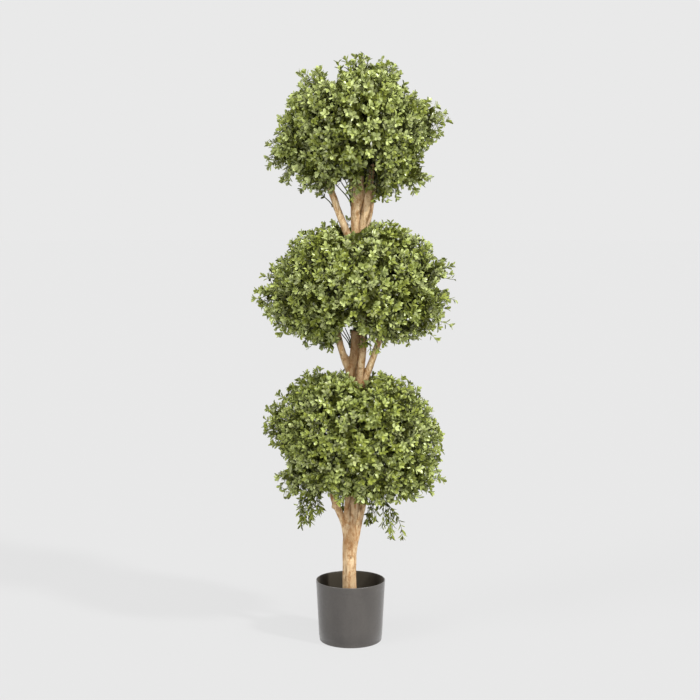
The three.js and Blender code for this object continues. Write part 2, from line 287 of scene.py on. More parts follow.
def makeStudio(spec):
    scene.view_settings.view_transform = "Standard"
    makeRoom(spec)
    for number, light in enumerate(spec["lights"]):
        makeSun(f"soft_light_{number + 1}", *light)
    finish, tree, shader = newFinish("pale_floor")
    feed(shader, {
        "Base Color": (*spec["floorColour"], 1), "Roughness": spec["floorRoughness"],
        "Specular IOR Level": 0.0, "Emission Color": (1, 1, 1, 1),
        "Emission Strength": spec["floorGlow"],
    })
    shape = bmesh.new()
    bmesh.ops.create_circle(
        shape, cap_ends=True, segments=spec["floorSides"], radius=spec["floorRadius"],
    )
    bmesh.ops.translate(shape, verts=shape.verts, vec=(0, 0, -spec["floorDrop"]))
    bmeshObject("floor", shape, finish)


makeStudio(studio)
print("camera and studio ready")


# pot and fill, spun round the upright axis
pot = {
    "height": 159, "rimRadius": 89.4, "footRadius": 81.2, "wall": 2.4, "floor": 4,
    "edgeRound": 3.5, "bandHeight": 14, "bandStep": 0.7, "lipRound": 1.1, "recess": 2.0,
    "rings": (40, 80, 120), "turns": 128, "sharpAngle": 40,
    "colour": (0.0505, 0.0455, 0.0415), "paleColour": (0.0635, 0.0575, 0.052),
    "rimTopColour": (0.09, 0.083, 0.076), "rimTopHeight": 1.6,
    "insideShadeColour": (0.0395, 0.033, 0.0235), "sheen": 0.22, "sheenRoughness": 0.4,
}
fill = {
    "top": 108, "shoulderDrop": 5, "flatRadius": 40, "rough": 2.2, "turns": 96, "rings": 14,
    "wallGap": 0.6, "heapRadius": 50, "heapRise": 3.0,
    "darkColour": (0.060, 0.048, 0.034), "paleColour": (0.150, 0.118, 0.082),
}


def spun(profile, turns):
    shape = bmesh.new()
    ring = [shape.verts.new((radius * mm, 0, height * mm)) for radius, height in profile]
    edges = [shape.edges.new(pair) for pair in zip(ring, ring[1:])]
    bmesh.ops.spin(
        shape, geom=ring + edges, axis=(0, 0, 1), cent=(0, 0, 0),
        angle=math.tau, steps=turns, use_merge=True, use_duplicate=False,
    )
    bmesh.ops.remove_doubles(shape, verts=shape.verts, dist=1e-6)
    bmesh.ops.recalc_face_normals(shape, faces=shape.faces)
    return shape


def corner(centre, radius, start, end, steps):
    turns = [math.radians(start + (end - start) * step / steps) for step in range(steps + 1)]
    return [(centre[0] + radius * math.cos(t), centre[1] + radius * math.sin(t)) for t in turns]


def potWall(height):
    return pot["footRadius"] + (pot["rimRadius"] - pot["footRadius"]) * height / pot["height"]


# 1 on the inner wall and floor of the pot, where the painted shade goes
def insideShadeShare(point):
    middle = potWall(point.z) - pot["wall"] / 2
    return float(point.z > pot["floor"] - 1 and math.hypot(point.x, point.y) < middle)


def potFinish(spec):
    finish, tree, shader = newFinish("matt_grey_plastic")
    cloud = stretchedNoise(tree, 0.35, 26, 4, 0.6)
    skin = ramp(cloud, [(0.36, spec["colour"]), (0.68, spec["paleColour"])])
    # painted shade: the pot's inner wall and floor are coloured darker and browner than the
    # outside, for the shade inside it
    inside = attribute(tree, "inside").outputs["Fac"]
    skin = mixed("MIX", inside, skin, (*spec["insideShadeColour"], 1))
    # the top band of the rim is coloured paler
    rimTopFrom = spec["height"] - spec["rimTopHeight"]
    rimTop = ranged(heightIn(tree, "Object"), 0, 1, rimTopFrom * mm, spec["height"] * mm)
    grit = stretchedNoise(tree, 1, 900, 3, 0.7)
    feed(shader, {
        "Base Color": mixed("MIX", rimTop, skin, (*spec["rimTopColour"], 1)),
        "Roughness": ranged(grit, 0.22, 0.34), "Normal": bumped(grit, 0.25, 0.0004),
        "Sheen Weight": spec["sheen"], "Sheen Roughness": spec["sheenRoughness"],
    })
    return finish


def makePot(spec):
    high, edge, lip = spec["height"], spec["edgeRound"], spec["lipRound"]
    band, step = spec["bandHeight"], spec["bandStep"]
    foot = potWall(edge) - step
    rim, wall, floor = spec["rimRadius"], spec["wall"], spec["floor"]
    profile = [(0, spec["recess"]), (foot - 12, spec["recess"]), (foot - 10, 0)]
    profile += corner((foot - edge, edge), edge, -90, 0, 6)
    profile += [(potWall(band - 1) - step, band - 1), (potWall(band), band)]
    profile += [(potWall(z), z) for z in (*spec["rings"], high - 6)]
    profile += corner((rim - lip, high - lip), lip, 0, 180, 8)
    profile += [(potWall(z) - wall, z) for z in (high - 8, *reversed(spec["rings"]), 8)]
    profile += [(potWall(floor) - wall - 4, floor), (0, floor)]
    piece = bmeshObject("pot_shell", spun(profile, spec["turns"]), potFinish(spec))
    mesh = piece.data
    layer = mesh.attributes.new("inside", "FLOAT", "POINT")
    layer.data.foreach_set("value", [insideShadeShare(point.co / mm) for point in mesh.vertices])
    smooth(mesh, spec["sharpAngle"])
    seat(piece, "pot_plastic", "pot")


def makeFill(spec, trunkFoot):
    gap = spec["wallGap"]
    reach = potWall(spec["top"]) - pot["wall"] - gap
    lowReach = potWall(8) - pot["wall"] - 1.0
    top, low = spec["top"], pot["floor"] + gap
    flatRadius = spec["flatRadius"]
    profile = [(0, top)]
    for ring in range(1, spec["rings"] + 1):
        radius = reach * ring / spec["rings"]
        drop = spec["shoulderDrop"] * max(0, radius - flatRadius) / (reach - flatRadius)
        profile.append((radius, top - drop))
    profile += [(reach - 1.5, top - 12), (lowReach, 9), (lowReach - 5, low), (0, low)]
    shape = spun(profile, spec["turns"])
    rough, heapRadius, heapRise = (spec[name] * mm for name in ("rough", "heapRadius", "heapRise"))
    for point in shape.verts:
        flat = math.hypot(point.co.x, point.co.y)
        if point.co.z > (top - 8) * mm and flat < (reach - 1) * mm:
            lump = noise.fractal(point.co * 60, 1.0, 2.0, 4)
            grain = noise.noise(point.co * 420)
            away = (Vector((point.co.x, point.co.y, 0)) - trunkFoot).length
            heap = max(0.0, 1 - away / heapRadius)
            point.co.z += rough * (0.55 * lump + 0.25 * grain - 0.9) + heapRise * heap**2
    finish, tree, shader = newFinish("rough_dark_fill")
    speckle = stretchedNoise(tree, 1, 180, 6, 0.7)
    feed(shader, {
        "Base Color": ramp(speckle, [(0.35, spec["darkColour"]), (0.7, spec["paleColour"])]),
        "Roughness": 0.92, "Normal": bumped(speckle, 0.6, 0.0015),
    })
    piece = bmeshObject("pot_filling", shape, finish)
    piece.data.shade_smooth()
    seat(piece, "fill", "pot_fill")


# limbs, from the foot up, with the same lines as the frame's own wood: x, y, height, radius
limbRows = {
    "trunk": [
        [-2.5, 0, 108.3, 18.4], [-2.5, 0, 250, 17.8], [7, 3, 345, 13.6], [12, 4, 470, 13.5],
        [17, 2, 630, 12.8], [23.5, 0, 700, 11.4], [31, -2, 775, 11], [28, 0, 900, 11.4],
        [15, 0, 1040, 11.8], [13, -2, 1106, 13.2], [15.5, -2, 1131, 16], [15.5, -1, 1160, 18.2],
        [16, 0, 1190, 17.6], [15, 0, 1240, 12], [15, 0, 1290, 8.5],
    ],
    "bough_lower_left": [
        [-7, -1, 256, 9.8], [-13, -2, 290, 9.8], [-18.5, -4, 312, 9.3],
        [-26, -5, 331, 9.3], [-41, -9, 366, 9], [-47, -10, 390, 8],
    ],
    "bough_lower_front": [[-3, -4, 285, 8.2], [-9, -10, 336, 7.6], [-6, -19, 400, 6.4]],
    "bough_lower_right": [
        [0, 2, 200, 10.4], [18.5, 4, 298, 10], [31, 6, 354, 9.6], [37, 7, 380, 9],
    ],
    "bough_middle_front": [
        [17, 1, 590, 11.2], [1, -7, 690, 10.6], [8, -8, 742, 10.3], [11, -8, 806, 10],
    ],
    "bough_middle_left": [
        [2, -6.5, 690, 9], [-12.5, -6, 731, 11.2], [-19.5, -6, 746, 9.6], [-35, -6, 803, 8.2],
    ],
    "bough_middle_right": [[18, 0, 630, 9], [48.5, -2, 712, 8.7], [80, -2, 800, 7.8]],
    "bough_upper_left": [
        [18, 0, 985, 8.6], [-16.5, -3, 1071, 9.2], [-46, -4, 1151, 8.6], [-66, -5, 1208, 7],
    ],
    "bough_upper_right": [
        [19, 0, 1000, 11], [30, -3, 1071, 11], [38, -4, 1101, 11.6],
        [43.5, -4, 1131, 11], [47, -4, 1165, 9], [56, -3, 1226, 7],
    ],
    "bough_upper_back": [[32, 6, 1045, 5], [50, 11, 1095, 4.6], [62, 14, 1180, 3.8]],
}
wood = {
    "sides": 18, "ringsPerMetre": 90, "voxel": 1.7, "easing": 0.5, "easingSteps": 2,
    "ridge": 0.6, "lump": 1.2, "groove": 0.3,
    "ridgeScale": (150, 9), "lumpScale": (40, 22), "grooveScale": (420, 16),
    "hollowSteps": 10, "hollowFrom": 0.22, "hollowTo": 1.1, "hollowMost": 0.85,
    "knots": 26, "knotSeed": 5,
    "palest": (0.88, 0.68, 0.41), "pale": (0.63, 0.485, 0.31), "honey": (0.53, 0.375, 0.215),
    "russet": (0.38, 0.24, 0.116), "dark": (0.115, 0.062, 0.023),
}
woodTones = ["dark", "pale", "russet"]
# pale marks are painted light on the wood's front, and broad dark ones are painted shade under the
# balls.
# small pushed-in dark marks are painted shade in notches and beside a knob; russet marks are the
# wood's own colour.
# by limb: height, turn (-90 faces the camera), half-width, half-length, push, tone and strength
woodMarks = {
    "trunk": [
        [214, -80, 11, 20, 0.5, "pale", 0.3], [217, -76, 3.2, 4, -1.6, "dark", 0.8],
        [183, -118, 2, 11, -0.5, "dark", 0.8], [160, -124, 1.6, 9, -0.4, "dark", 0.7],
        [268, -95, 16, 30, 0.3, "russet", 0.6], [288, -90, 19, 44, 0, "dark", 0.42],
        [325, -95, 9, 34, 0.6, "russet", 0.4], [706, -92, 2.4, 2.6, -1.2, "dark", 1],
        [730, -80, 9, 34, 0, "pale", 0.9], [740, -90, 14, 60, 0, "russet", 0.4],
        [784, -90, 14, 36, 0, "dark", 0.18], [672, -80, 10, 16, 1.0, "russet", 0.8],
        [1102, -85, 17, 56, 0, "pale", 0.4], [1118, -150, 5, 46, 0, "russet", 0.8],
        [1196, -90, 16, 34, 0, "dark", 0.4],
    ],
    "bough_lower_left": [
        [352, 178, 5.5, 5.5, 4.6, "russet", 1], [361, 200, 4, 3, -1.5, "dark", 1],
        [340, -70, 6, 24, 0, "russet", 0.8],
    ],
    "bough_lower_front": [[352, -40, 3, 16, -1, "dark", 0.8], [360, -100, 6, 18, 0, "russet", 1]],
    "bough_lower_right": [
        [341, -112, 5, 8, -2.4, "dark", 1], [304, -112, 2.6, 30, 0.6, "pale", 1],
    ],
    "bough_middle_front": [
        [740, -90, 15, 60, 0, "russet", 0.85], [776, -90, 15, 44, 0, "dark", 0.48],
    ],
    "bough_middle_right": [[735, -90, 8, 46, 0, "pale", 1]],
    "bough_middle_left": [[752, -100, 7, 26, 0, "pale", 0.8]],
    "bough_upper_right": [[1100, -95, 12, 44, 0, "pale", 0.55]],
    "bough_upper_left": [[1115, -100, 9, 50, 0, "pale", 0.85]],
}


def limbTube(shape, line, sides):
    start, radius = line[0]
    along = lineWay(line, 0)
    turned = along.to_track_quat("Z", "Y").to_matrix().to_4x4()
    made = bmesh.ops.create_circle(
        shape, cap_ends=True, segments=sides, radius=radius,
        matrix=Matrix.Translation(start) @ turned,
    )
    current = made["verts"][0].link_faces[0]
    for index in range(1, len(line)):
        point, width = line[index]
        previous, oldWidth = line[index - 1]
        newAlong = lineWay(line, index)
        grown = bmesh.ops.extrude_face_region(shape, geom=[current], use_keep_orig=index == 1)
        current = next(part for part in grown["geom"] if isinstance(part, bmesh.types.BMFace))
        turn = along.rotation_difference(newAlong).to_matrix().to_4x4()
        widen = Matrix.Scale(width / oldWidth, 4)
        move = Matrix.Translation(point) @ turn @ widen @ Matrix.Translation(-previous)
        bmesh.ops.transform(shape, matrix=move, verts=current.verts)
        along = newAlong


def woodFinish(spec):
    finish, tree, shader = newFinish("bare_honey_wood")
    grain = stretchedNoise(tree, 0.06, 260, 5, 0.68, 0.4)
    patches = stretchedNoise(tree, 0.28, 38, 4, 0.62, 0.6)
    mottle = stretchedNoise(tree, 0.5, 95, 4, 0.65, 0.5)
    flecks = stretchedNoise(tree, 0.6, 230, 4, 0.7, 0.8)
    colour = ramp(patches, [
        (0.34, spec["russet"]), (0.46, spec["honey"]), (0.62, spec["pale"]),
    ])
    # the marks' tones: red is painted shade in grooves, notches and under the balls, with the dark
    # knots; green is painted light, with the pale knots; blue is russet
    marks = attribute(tree, "woodTone").outputs["Color"]
    tones = added(tree, "SeparateColor", {"Color": marks}).outputs
    colour = mixed("MIX", tones["Blue"], colour, (*spec["russet"], 1))
    colour = mixed("MIX", tones["Green"], colour, (*spec["palest"], 1))
    white = (1.0, 1.0, 1.0)
    stains = [  # pattern, strength and colours
        (grain, 0.7, [(0.32, (0.62, 0.52, 0.42)), (0.56, white)]),
        (mottle, 0.9, [(0.40, (0.66, 0.49, 0.33)), (0.55, white)]),
        (flecks, 0.8, [(0.53, white), (0.66, (0.46, 0.31, 0.17))]),
    ]
    for pattern, strength, stops in stains:
        colour = mixed("MULTIPLY", strength, colour, ramp(pattern, stops))
    feed(shader, {
        "Base Color": mixed("MIX", tones["Red"], colour, (*spec["dark"], 1)),
        "Roughness": ranged(grain, 0.48, 0.70), "Specular IOR Level": 0.2,
        "Normal": bumped(grain, 0.5, 0.0008),
    })
    return finish


def makeWood(spec):
    shape = bmesh.new()
    lines = {node: limbLine(rows, spec["ringsPerMetre"]) for node, rows in limbRows.items()}
    for line in lines.values():
        limbTube(shape, line, spec["sides"])
    bmesh.ops.recalc_face_normals(shape, faces=shape.faces)
    piece = bmeshObject("trunk_and_boughs", shape, woodFinish(spec))
    skin = piece.modifiers.new("grown together", "REMESH")
    skin.mode = "VOXEL"
    skin.voxel_size = spec["voxel"] * mm
    skin.use_smooth_shade = True
    ease = piece.modifiers.new("eased", "SMOOTH")
    ease.factor, ease.iterations = spec["easing"], spec["easingSteps"]
    bpy.context.view_layer.update()
    solid = piece.evaluated_get(bpy.context.evaluated_depsgraph_get())
    grown = bpy.data.meshes.new_from_object(solid)
    piece.modifiers.clear()
    old, piece.data = piece.data, grown
    bpy.data.meshes.remove(old)
    relief(grown, spec, lines)
    grown.shade_smooth()
    seat(piece, "wood", *limbRows)
    print("wood:", len(grown.polygons), "faces")
    return lines


# where each mark sits on its limb's skin, and the way that the limb runs there
def markPlaces(spec, lines):
    random = seededRandom(spec["knotSeed"])
    marks = [[node, *row] for node, rows in woodMarks.items() for row in rows]
    for knot in range(spec["knots"]):
        node = list(limbRows)[int(random(0, len(limbRows)))]
        low, high = limbRows[node][0][2], limbRows[node][-1][2]
        size, turn = random(1.8, 3.6), random(-60, 240)
        height = random(low + 0.15 * (high - low), high)
        marks.append([node, height, turn, size, size * 1.3, -0.8, woodTones[knot % 3], 0.9])
    for node, height, turn, across, length, push, tone, strength in marks:
        line = lines[node]
        nearest = min(range(1, len(line)), key=lambda index: abs(line[index][0].z - height * mm))
        point, radius = line[nearest]
        along = (point - line[nearest - 1][0]).normalized()
        out = direction(math.radians(turn), 0)
        out = (out - along * out.dot(along)).normalized()
        sizes = (across * mm, length * mm, push * mm)
        yield point + out * radius, along, sizes, woodTones.index(tone), strength


def barkPoint(spot, scale):
    x, y, z = spot
    across, upright = scale
    return Vector((x * across, y * across, z * upright))


def readRows(parts, name, width, kind=float):
    values = np.empty(len(parts) * width, kind)
    parts.foreach_get(name, values)
    return values.reshape(-1, width)


# the wood's relief: upright ridges, broad lumps, fine grooves and the marks, pushed along the skin
def relief(mesh, spec, lines):
    foot = limbRows["trunk"][0][2] * mm
    spots, normals = (readRows(mesh.vertices, name, 3) for name in ("co", "normal"))
    push = np.zeros(len(spots))
    for index, spot in enumerate(spots):
        ridge = noise.fractal(barkPoint(spot, spec["ridgeScale"]), 1.0, 2.1, 3)
        lump = noise.noise(barkPoint(spot, spec["lumpScale"]))
        groove = noise.noise(barkPoint(spot, spec["grooveScale"]))
        push[index] = (spec["ridge"] * ridge + spec["lump"] * lump + spec["groove"] * groove) * mm
    tone = np.zeros((len(spots), 4), np.float32)
    tone[:, 3] = 1
    for centre, along, (across, length, depth), channel, strength in markPlaces(spec, lines):
        offset = spots - np.array(centre)
        run = offset @ np.array(along)
        wide = np.linalg.norm(offset - run[:, None] * np.array(along), axis=1)
        weight = np.exp(-(wide / across) ** 2 - (run / length) ** 2)
        push += weight * depth
        tone[:, channel] = np.maximum(tone[:, channel], weight * strength)
    push[spots[:, 2] < foot + mm] = 0
    spots = spots + normals * push[:, None]
    mesh.vertices.foreach_set("co", spots.astype(np.float32).ravel())
    # painted shade: the wood is darkened where it lies below the smoothed skin, in the grooves
    # between limbs
    shade = hollows(mesh, spots, normals, spec["hollowSteps"]) / mm - spec["hollowFrom"]
    shade = np.clip(shade / (spec["hollowTo"] - spec["hollowFrom"]), 0, spec["hollowMost"])
    tone[:, 0] = np.maximum(tone[:, 0], shade)
    layer = mesh.attributes.new("woodTone", "FLOAT_COLOR", "POINT")
    layer.data.foreach_set("color", tone.ravel())


# how far each point lies below the smoothed skin, as in the grooves between two limbs
def hollows(mesh, spots, normals, steps):
    first, second = readRows(mesh.edges, "vertices", 2, np.int64).T
    links = np.bincount(np.concatenate([first, second]), minlength=len(spots))[:, None]
    smooth = spots
    for step in range(steps):
        total = np.zeros_like(smooth)
        for axis in range(3):
            total[:, axis] += np.bincount(first, smooth[second, axis], len(spots))
            total[:, axis] += np.bincount(second, smooth[first, axis], len(spots))
        smooth = total / links
    return ((smooth - spots) * normals).sum(axis=1)


makePot(pot)
makeFill(fill, Vector((limbRows["trunk"][0][0] * mm, 0, 0)))
limbLines = makeWood(wood)
print("pot, fill and wood ready")


# foliage: the balls' outlines, swells and standing sprigs, in millimetres and degrees
swellSpread = 9
lowerBall = {
    "node": "ball_lower", "centre": [8, 0, 543], "side": 213, "up": 164, "down": 176,
    "lowest": 362, "highest": 726, "seed": 11, "paintedLightShift": -0.6, "trunkFrom": 405,
    "trunkTo": 650,
    "swells": [
        [0, -50, 0.12], [0, -28, 0.18], [0, 5, -0.06], [0, 30, 0.08], [0, 58, -0.06],
        [180, 60, -0.06], [180, 34, 0.1], [180, 0, 0.05], [180, -20, -0.26], [180, -48, 0.22],
        [90, 10, 0.05], [250, -10, 0.05],
    ],
    "sprigs": [
        [-222, -8, 545], [229, 6, 550], [212, 10, 396], [-190, -14, 424], [-129, 20, 679],
        [152, -20, 666],
    ],
    "clearings": [
        [-6, 372, 14, 14], [-63, 366, 12, 22], [27, 712, 24, 46, 10], [-190, 474, 22, 20],
        [262, 500, 24, 84], [-236, 584, 14, 16],
    ],
    "risers": [
        ("bright", 0.1, [
            [-14, -72, 436, -31, -82, 386], [-12, -70, 432, -22, -80, 388],
            [-20, -66, 434, -36, -76, 396], [-8, -70, 440, -12, -80, 404],
            [4, -72, 446, 2, -82, 410], [-26, -64, 430, -40, -72, 406],
            [-18, -64, 428, -27, -74, 380],
        ]),
        ("shade", 0.1, [
            [-14, 16, 404, -19, 18, 350], [-20, 14, 398, -21, 16, 344],
            [16, -46, 428, 14, -54, 380], [28, -44, 426, 27, -52, 376],
            [38, -40, 422, 40, -48, 378], [22, -48, 430, 21, -56, 390],
        ]),
        ("plain", 0.1, [[-84, -20, 446, -92, -26, 394]]),
        ("shade", 0.1, [[-98, -10, 448, -108, -14, 388]]),
        ("plain", 0.1, [[-110, -24, 446, -122, -30, 394]]),
        ("shade", 0.1, [[-90, 10, 440, -98, 14, 384]]),
        ("plain", 0.1, [[-124, -6, 440, -138, -8, 398]]),
        ("shade", 0.1, [[-78, -6, 440, -82, -8, 396]]),
        ("plain", 0.3, [
            [-8, -40, 640, -10, -36, 690], [0, -42, 636, 1, -40, 682],
            [8, -44, 630, 11, -44, 670], [20, -44, 630, 21, -44, 668],
            [42, -42, 630, 43, -40, 672],
        ]),
        ("shade", 0.3, [[31, -48, 622, 33, -50, 656]]),
        ("plain", 0.3, [[-14, -30, 640, -20, -26, 694]]),
    ],
}
middleBall = {
    "node": "ball_middle", "centre": [11, 0, 924], "side": 223, "up": 158, "down": 160,
    "lowest": 752, "highest": 1100, "seed": 23, "paintedLightShift": 0.0, "trunkFrom": 808,
    "trunkTo": 1030,
    "swells": [
        [0, -60, -0.08], [0, -36, 0.22], [0, -10, 0.06], [0, 18, -0.07], [0, 63, 0.03],
        [180, 35, -0.06], [180, 12, -0.1], [180, -15, 0.09], [180, -50, 0.05], [80, 25, 0.05],
        [250, -10, 0.05],
    ],
    "sprigs": [
        [-243, 10, 906], [262, -6, 972], [227, 12, 845], [-205, -10, 833], [-153, 14, 1010],
        [176, 8, 1036],
    ],
    "clearings": [
        [15, 764, 60, 24], [12, 764, 28, 50, -12], [-13, 790, 10, 34], [-16, 1082, 24, 34, 0],
        [20, 1094, 28, 38, 0], [230, 1020, 24, 30], [241, 924, 26, 14], [-152, 776, 26, 20],
        [302, 925, 34, 90],
    ],
    "risers": [
        ("shade", 1, [
            [-2, -14, 762, -28, -12, 806], [-1, -14, 768, -22, -16, 812],
            [0, -14, 776, -14, -16, 814],
        ]),
        ("bright", 0.1, [
            [46, -44, 808, 50, -54, 760], [56, -46, 808, 66, -54, 764],
            [66, -42, 806, 82, -48, 776],
        ]),
        ("shade", 0.1, [[30, -34, 826, 28, -42, 774], [38, -32, 824, 38, -40, 778]]),
    ],
}
upperBall = {
    "node": "ball_upper", "centre": [14, 0, 1320], "side": 203, "up": 166, "down": 166,
    "lowest": 1128, "highest": 1506, "seed": 37, "paintedLightShift": 0.8, "trunkFrom": 1200,
    "trunkTo": 1285,
    "swells": [
        [0, -60, 0.17], [0, -30, -0.18], [0, 3, 0.15], [0, 29, -0.24], [35, 32, -0.1],
        [325, 32, -0.1], [0, 65, 0.1], [180, 64, -0.24], [130, 62, -0.16], [230, 62, -0.16],
        [180, 40, -0.02], [180, 3, -0.2], [180, -21, 0.2], [180, -42, -0.08], [180, -58, 0.15],
        [270, 5, 0.05], [90, 0, 0.06],
    ],
    "sprigs": [
        [242, -8, 1353], [-215, 8, 1239], [13, 4, 1499], [-82, -10, 1459], [200, 10, 1186],
        [111, 16, 1464],
    ],
    "clearings": [
        [-18, 1138, 25, 50], [14, 1126, 26, 42, -10], [49, 1150, 14, 86, -6], [-44, 1452, 13, 30],
        [-158, 1436, 26, 24], [56, 1502, 26, 14], [-66, 1138, 14, 16], [150, 1130, 18, 14],
        [218, 1236, 28, 42], [184, 1420, 22, 24],
    ],
    "risers": [
        ("shade", 0.8, [[1, -12, 1120, -40, -12, 1180], [1, -12, 1130, -30, -14, 1192]]),
        ("shade", 1, [[0, -12, 1142, -18, -14, 1198]]),
        ("shade", 0.7, [[-46, -10, 1118, -72, -12, 1150]]),
        ("shade", 0.1, [[64, -20, 1188, 58, -30, 1138], [70, -16, 1186, 68, -24, 1148]]),
        ("bright", 0.1, [[8, -40, 1214, 4, -46, 1142]]),
        ("plain", 0.1, [[14, -38, 1216, 17, -44, 1160], [0, -36, 1212, -4, -42, 1158]]),
        ("shade", 0.05, [[30, 34, 1236, 30, 36, 1166], [35, 28, 1230, 35, 30, 1146]]),
        ("shade", 0.1, [[44, -30, 1218, 42, -36, 1166]]),
        ("plain", 0.1, [
            [53, -28, 1216, 51, -34, 1172], [-92, -12, 1400, -90, -14, 1446],
            [-74, -8, 1404, -66, -10, 1444], [-106, -4, 1392, -112, -6, 1430],
            [-80, 10, 1404, -80, 12, 1448],
        ]),
        ("plain", 0.2, [
            [-14, -4, 1430, -32, -6, 1474], [0, 6, 1440, -12, 8, 1484],
            [34, -4, 1440, 44, -6, 1482], [24, 8, 1450, 28, 10, 1490], [62, 4, 1430, 76, 6, 1466],
        ]),
    ],
}
growth = {
    "leaders": 40, "shortest": 0.92, "longest": 1.1, "furthest": 1.1, "tuftReach": 9,
    "shoots": 13, "cone": 0.43, "shoulder": 0.11, "waver": (-0.05, 0.03),
    "rootFrom": 0.86, "rootBack": 0.44, "lightPaintedBelow": 1.2,
    "longEvery": 5, "longShoots": 2, "longBy": (0.02, 0.085),
    "leafyLength": 74, "leafFrom": 0.1, "sideTwigs": 2, "sideLength": (22, 36),
    "sideFrom": (0.4, 0.75), "sideLeafFrom": 0.25, "sideScale": 0.92,
    "tipClear": 14, "sideClear": 10, "leafClear": 5, "wayStops": 6,
    "innerFrom": 0.12, "innerTo": 0.45, "innerScale": 1.8,
    "coreTwigs": 44, "coreFrom": 12, "coreLength": (60, 105),
    "leaderRadius": (2.4, 0.8), "shootRadius": (1.2, 0.6),
    "sideRadius": (0.8, 0.5), "riserRadius": (1.9, 1.3),
}
leaf = {
    "length": (13.5, 17.5), "cup": 0.22, "arch": 0.2, "thick": 0.05, "sharpAngle": 28,
    "footPart": 0.35, "tipPart": 0.82, "tuft": 4, "tipSplay": (16, 64), "tipScale": 0.93,
    "sway": 18, "twist": 0.85, "hangingTwist": 1.1,
}
# width to length, then place along the blade and share of the width,
# then the lean of the last and the first leaves from their twig, and the gap between pairs
leafKinds = {
    "tip": {"width": 0.52, "edge": [(0.24, 0.32), (0.62, 0.50), (0.90, 0.33)]},
    "outer": {"width": 0.42, "edge": [(0.36, 0.44), (0.82, 0.42)], "splay": (46, 70), "gap": 9.5},
    "inner": {"width": 0.46, "edge": [(0.55, 0.50)], "splay": (46, 70), "gap": 9},
    "hanging": {
        "width": 0.30, "edge": [(0.20, 0.32), (0.52, 0.50), (0.84, 0.30)],
        "splay": (36, 60), "gap": 11.5,
    },
}
leafTints = {
    "fresh": (0.405, 0.468, 0.178),
    "light": (0.308, 0.362, 0.104),
    "middle": (0.216, 0.254, 0.044),
    "olive": (0.070, 0.080, 0.012),
    # greyGreen is a paler, greyer green, partly painted sheen
    "greyGreen": (0.258, 0.288, 0.118),
    "pale": (0.46, 0.53, 0.12),
}
stemTints = {  # at the tip, along the body, for its odd leaves and near its foot
    "bright": ("pale", "pale", "fresh", "fresh"),
    "plain": ("fresh", "light", "middle", "middle"),
    "shade": ("middle", "middle", "olive", "olive"),
    "hanging": ("middle", "olive", "middle", "olive"),
}
stems = {
    "colour": (0.040, 0.048, 0.012), "paleColour": (0.090, 0.098, 0.030), "sharpAngle": 70,
}


def outline(ball, heading):
    upright = ball["up"] if heading.z > 0 else ball["down"]
    level = math.hypot(heading.x, heading.y) / ball["side"]
    distance = 1 / math.hypot(level, heading.z / upright)
    for turn, rise, share in ball["swells"]:
        towards = direction(math.radians(turn), math.radians(rise))
        distance *= 1 + share * math.exp(swellSpread * (heading.dot(towards) - 1))
    return distance * mm


# one leaf lies along +X with its face to +Z: an oval with a shallow fold and a low arch,
# and one point above and one below its middle
def leafShape(width, edge):
    def arch(along):
        return -leaf["arch"] * (along - 0.45) ** 2 * 1.6

    def rim(along, wide):
        return arch(along) + leaf["cup"] * wide * width

    points = [(0, 0, arch(0))] + [(a, w * width, rim(a, w)) for a, w in edge]
    points += [(1, 0, arch(1) + 0.03)] + [(a, -w * width, rim(a, w)) for a, w in reversed(edge)]
    points += [(0.5, 0, arch(0.5)), (0.5, 0, arch(0.5) - leaf["thick"])]
    steps = len(edge)
    tip, upper, lower = steps + 1, 2 * steps + 2, 2 * steps + 3
    left, right = [*range(tip + 1)], [0, *range(2 * steps + 1, steps, -1)]
    faces = []
    for side in (left, right):
        for middle in (upper, lower):
            turned = (side is right) != (middle == lower)
            for here, there in zip(side, side[1:]):
                faces.append((there, middle, here) if turned else (here, middle, there))
    return np.array(points, float), np.array(faces, int)


def arrayPiece(name, corners, faces, finish, sharpAngle):
    mesh = bpy.data.meshes.new(name)
    mesh.vertices.add(len(corners))
    mesh.vertices.foreach_set("co", corners.astype(np.float32).ravel())
    sides = faces.shape[1]
    mesh.loops.add(faces.size)
    mesh.loops.foreach_set("vertex_index", faces.astype(np.int32).ravel())
    mesh.polygons.add(len(faces))
    mesh.polygons.foreach_set("loop_start", np.arange(0, faces.size, sides, dtype=np.int32))
    mesh.update(calc_edges=True)
    mesh.validate()
    smooth(mesh, sharpAngle)
    return meshObject(name, mesh, finish)


def leafCorners(leaves, shape):
    points, faces = shape
    at, along, face, size = (np.array([one[part] for one in leaves]) for part in range(4))
    across = np.cross(face, along)
    across /= np.linalg.norm(across, axis=1, keepdims=True)
    face = np.cross(along, across)
    ways = enumerate((along, across, face))
    local = sum(points[None, :, [axis]] * way[:, None] for axis, way in ways)
    corners = (at[:, None] + local * size[:, None, None]).reshape(-1, 3)
    whole = (faces[None] + np.arange(len(leaves))[:, None, None] * len(points)).reshape(-1, 3)
    return corners, whole


def joinedLeaves(name, leaves, finish):
    corners, faces, first = [], [], 0
    for kind, shape in leafShapes.items():
        chosen = [one for one in leaves if one[4] == kind]
        if chosen:
            some, whole = leafCorners(chosen, shape)
            corners.append(some)
            faces.append(whole + first)
            first += len(some)
    corners, faces = np.concatenate(corners), np.concatenate(faces)
    return arrayPiece(name, corners, faces, finish, leaf["sharpAngle"])


